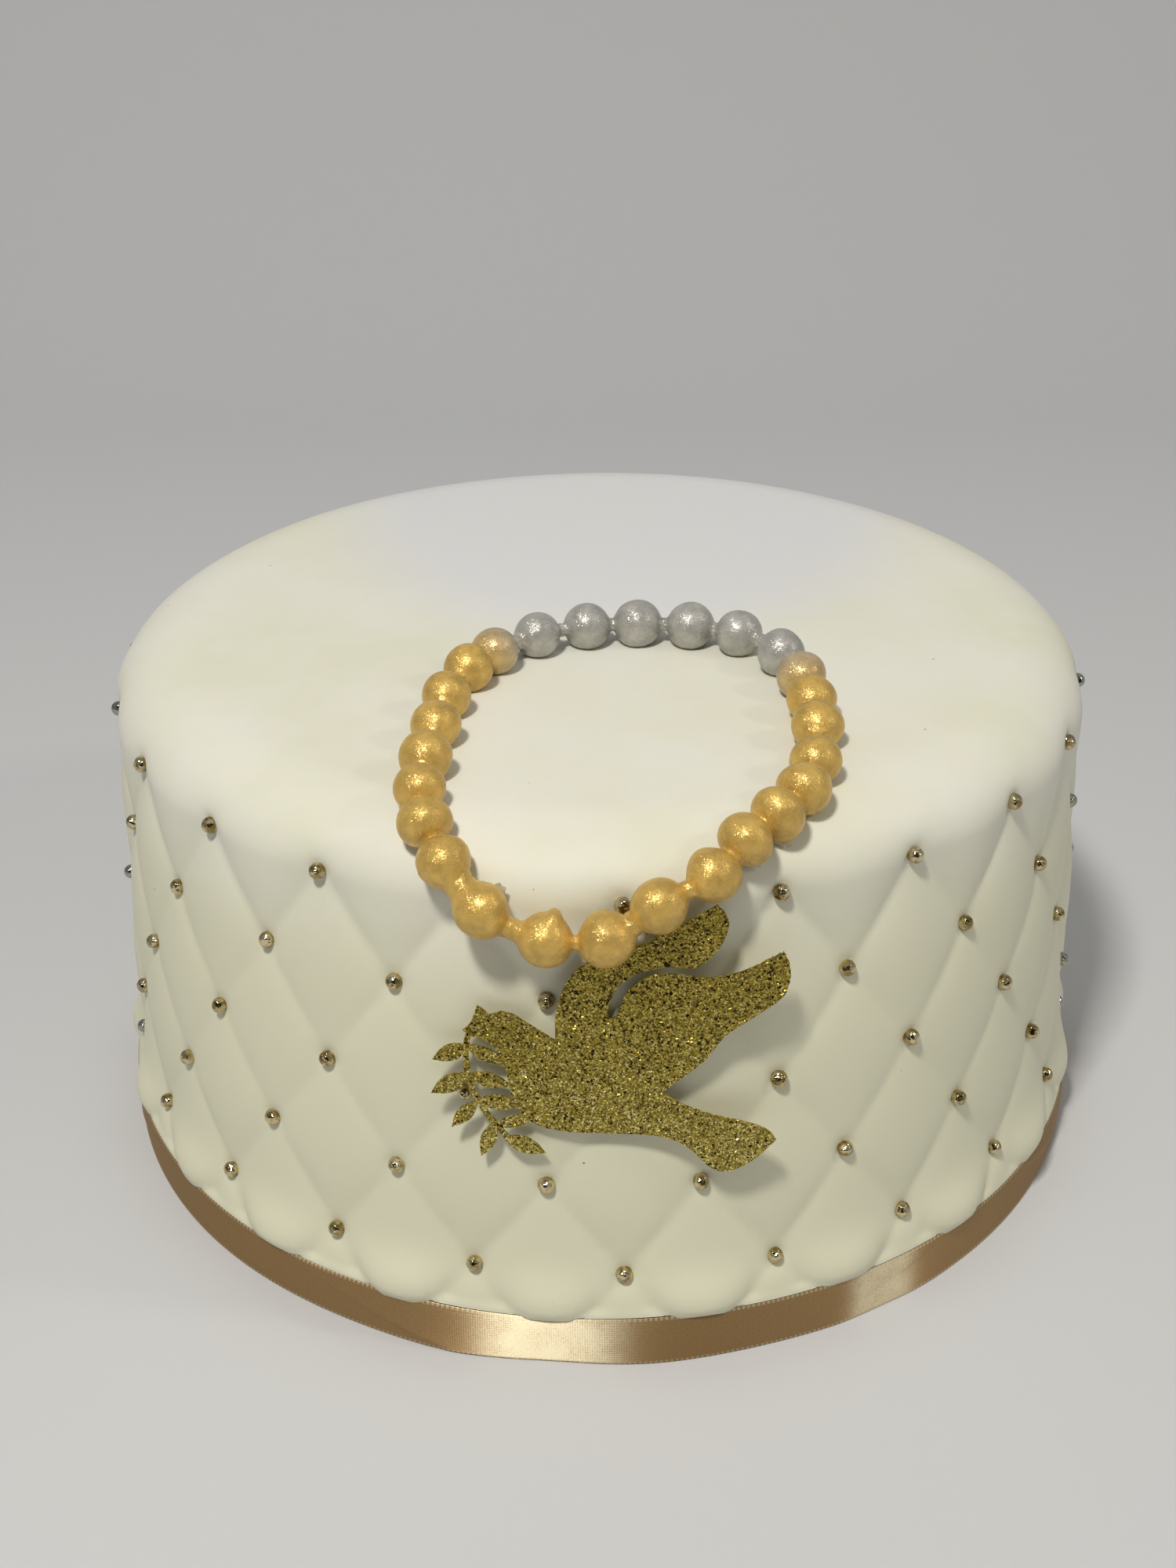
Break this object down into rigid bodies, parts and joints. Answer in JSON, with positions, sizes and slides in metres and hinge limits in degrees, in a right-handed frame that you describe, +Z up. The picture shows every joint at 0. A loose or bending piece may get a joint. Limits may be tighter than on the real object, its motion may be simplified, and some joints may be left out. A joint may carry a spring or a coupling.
{
  "type": "single-tier quilted fondant cake",
  "caption": "Round ivory fondant cake with quilted sides and gilt sugar pearls, a satin ribbon at its foot, a draped string of beads and a glitter-card dove on its front.",
  "frame": {"origin": "on the cake's axis at its base, on the face it stands on", "axes": "+Z up along the cake's axis; -Y is the front, where the dove and the bead loop hang; +X to the right seen from the front"},
  "size_m": [0.2542, 0.2607, 0.1433],
  "materials": {
    "fondant": "satin, soft ivory sugarpaste",
    "dragees": "polished, gilt and silvered sugar",
    "ribbon": "woven satin",
    "beads": "pearl lustre on moulded sugar, gold in front and silver behind",
    "glitter_card": "coarse gold glitter"
  },
  "bodies": {
    "root": {"fondant_cake": "fondant", "satin_ribbon": "ribbon", "bead_string": "beads", "dove_topper": "glitter_card"}
  },
  "joints": []
}
